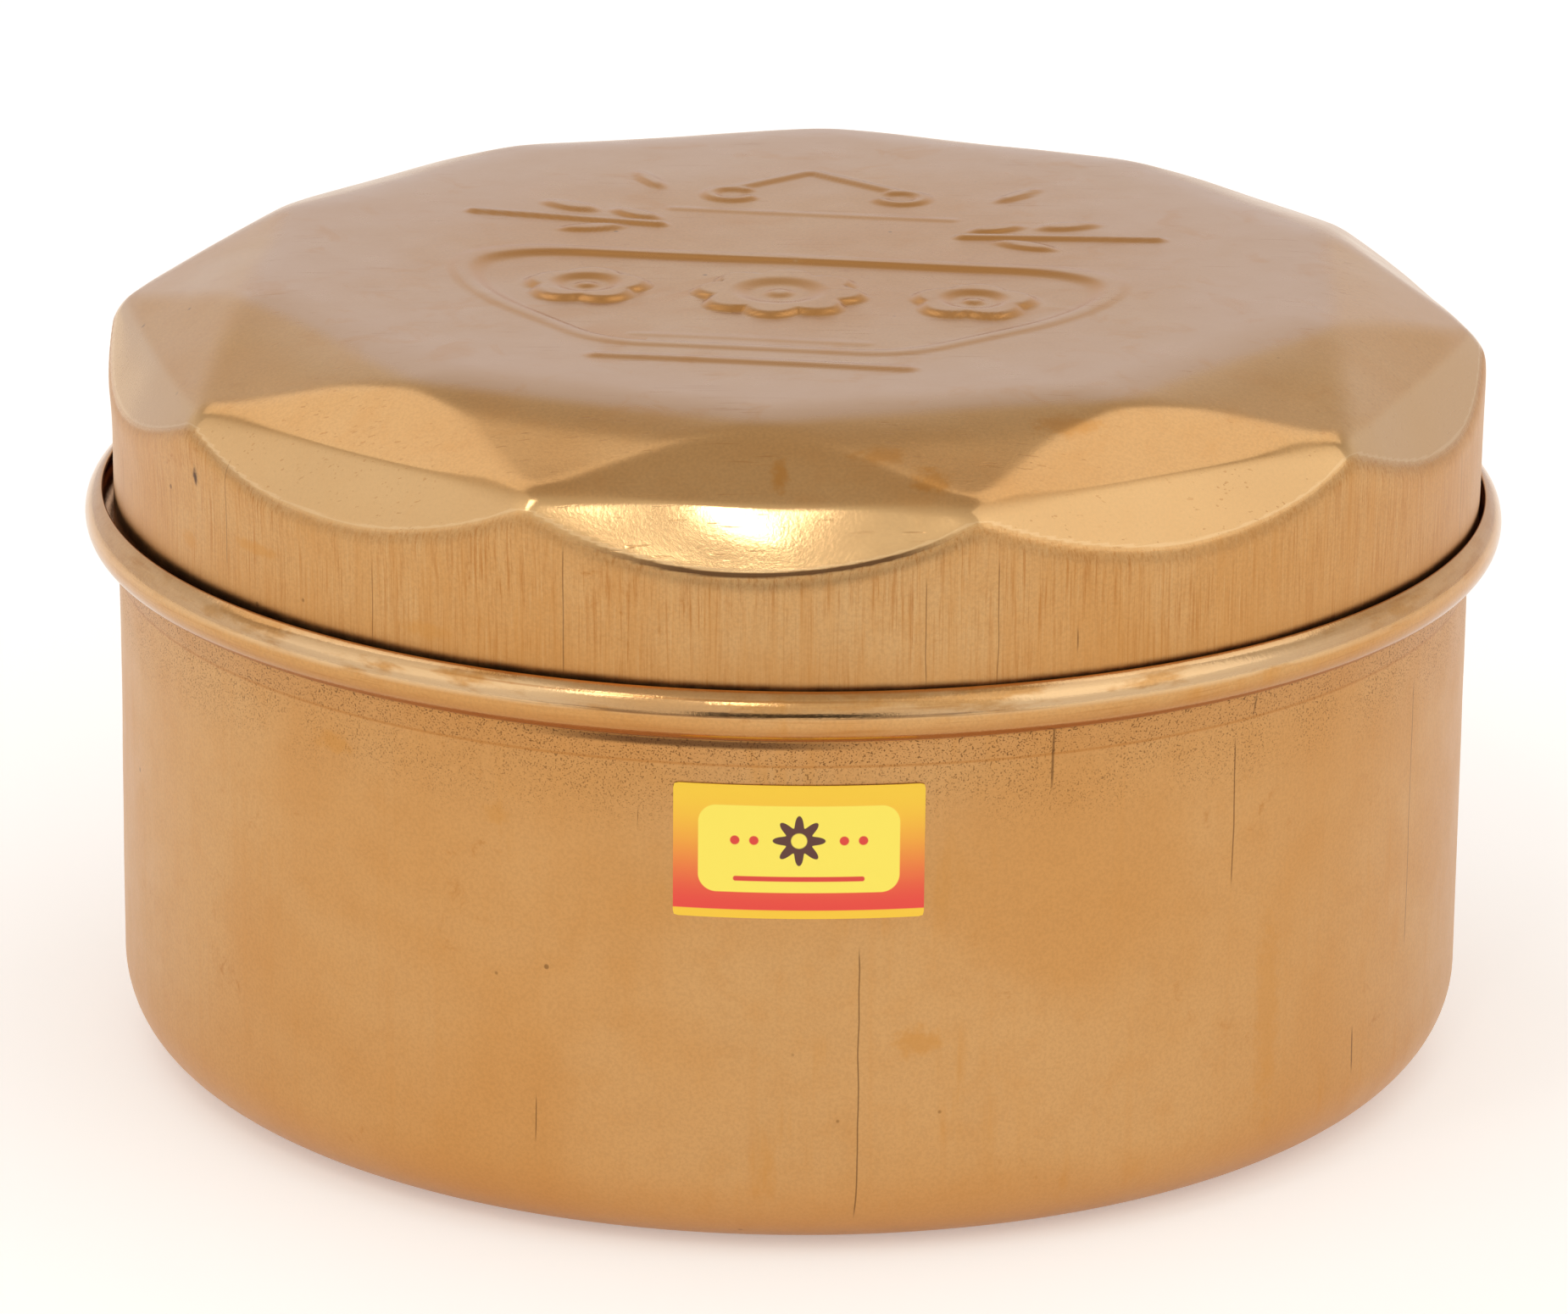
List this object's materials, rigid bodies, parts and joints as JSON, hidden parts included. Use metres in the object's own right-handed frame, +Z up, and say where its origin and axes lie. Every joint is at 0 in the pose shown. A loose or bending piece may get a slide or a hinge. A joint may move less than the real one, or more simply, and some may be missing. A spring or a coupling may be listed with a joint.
{
  "type": "spice box",
  "caption": "Round drawn-brass spice box with a rolled rim, a drop-in lid with a faceted pressed crown, small loose cups and a spoon.",
  "frame": {"origin": "centre of the base, on the surface that the box stands on", "axes": "+Z up along the box's axis, -Y is the front with the label, +X to the right seen from the front"},
  "size_m": [0.2, 0.2, 0.1126],
  "materials": {
    "body_brass": "satin drawn brass with light tarnish",
    "lid_brass": "polished pressed brass with light tarnish",
    "cup_brass": "satin brass, cleaner inside the box",
    "spoon_brass": "polished brass",
    "label_paper": null
  },
  "bodies": {
    "box": {"body": "body_brass", "label": "label_paper"},
    "lid": {"lid": "lid_brass"},
    "centre_cup": {"centre_cup": "cup_brass"},
    "ring_cup_1": {"ring_cup_1": "cup_brass"},
    "ring_cup_2": {"ring_cup_2": "cup_brass"},
    "ring_cup_3": {"ring_cup_3": "cup_brass"},
    "ring_cup_4": {"ring_cup_4": "cup_brass"},
    "ring_cup_5": {"ring_cup_5": "cup_brass"},
    "ring_cup_6": {"ring_cup_6": "cup_brass"},
    "spoon": {"spoon": "spoon_brass"}
  },
  "joints": [
    {"name": "lid_lift", "type": "slide", "parent": "box", "child": "lid", "axis": [0, 0, 1], "range_m": [0, 0.15]},
    {"name": "centre_cup_lift", "type": "slide", "parent": "box", "child": "centre_cup", "axis": [0, 0, 1], "range_m": [0, 0.045]},
    {"name": "ring_cup_1_lift", "type": "slide", "parent": "box", "child": "ring_cup_1", "axis": [0, 0, 1], "range_m": [0, 0.045]},
    {"name": "ring_cup_2_lift", "type": "slide", "parent": "box", "child": "ring_cup_2", "axis": [0, 0, 1], "range_m": [0, 0.045]},
    {"name": "ring_cup_3_lift", "type": "slide", "parent": "box", "child": "ring_cup_3", "axis": [0, 0, 1], "range_m": [0, 0.045]},
    {"name": "ring_cup_4_lift", "type": "slide", "parent": "box", "child": "ring_cup_4", "axis": [0, 0, 1], "range_m": [0, 0.045]},
    {"name": "ring_cup_5_lift", "type": "slide", "parent": "box", "child": "ring_cup_5", "axis": [0, 0, 1], "range_m": [0, 0.045]},
    {"name": "ring_cup_6_lift", "type": "slide", "parent": "box", "child": "ring_cup_6", "axis": [0, 0, 1], "range_m": [0, 0.045]},
    {"name": "spoon_lift", "type": "slide", "parent": "centre_cup", "child": "spoon", "axis": [0, 0, 1], "range_m": [0, 0.045]}
  ]
}
